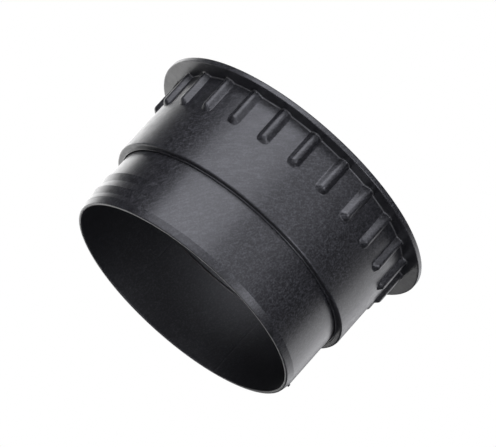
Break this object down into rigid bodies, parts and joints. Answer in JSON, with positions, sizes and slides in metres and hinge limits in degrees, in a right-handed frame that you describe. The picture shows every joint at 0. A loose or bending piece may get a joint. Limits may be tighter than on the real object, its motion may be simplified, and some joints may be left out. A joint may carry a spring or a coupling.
{
  "type": "snoot",
  "caption": "Stepped black plastic snoot: a flanged, ribbed collar holds a narrower barbed nose tube that swivels and narrows the beam.",
  "frame": {"origin": "centre of the flange's rear face, on the bore's axis", "axes": "+Z along the bore towards the mouth of the nose tube; +X through the middle of the barbs on the nose tube"},
  "size_m": [0.1212, 0.1212, 0.0648],
  "materials": {
    "collar_plastic": "satin moulded, fine flow grain",
    "nose_plastic": "satin moulded, fine flow grain",
    "ring_steel": "black-oxide drawn spring wire"
  },
  "bodies": {
    "collar_body": {"collar": "collar_plastic", "retaining_ring": "ring_steel"},
    "nose_body": {"nose_tube": "nose_plastic"}
  },
  "joints": [
    {"name": "nose_swivel", "type": "hinge", "parent": "collar_body", "child": "nose_body", "pos_m": [0, 0, 0.03695], "axis": [0, 0, 1], "continuous": true}
  ]
}
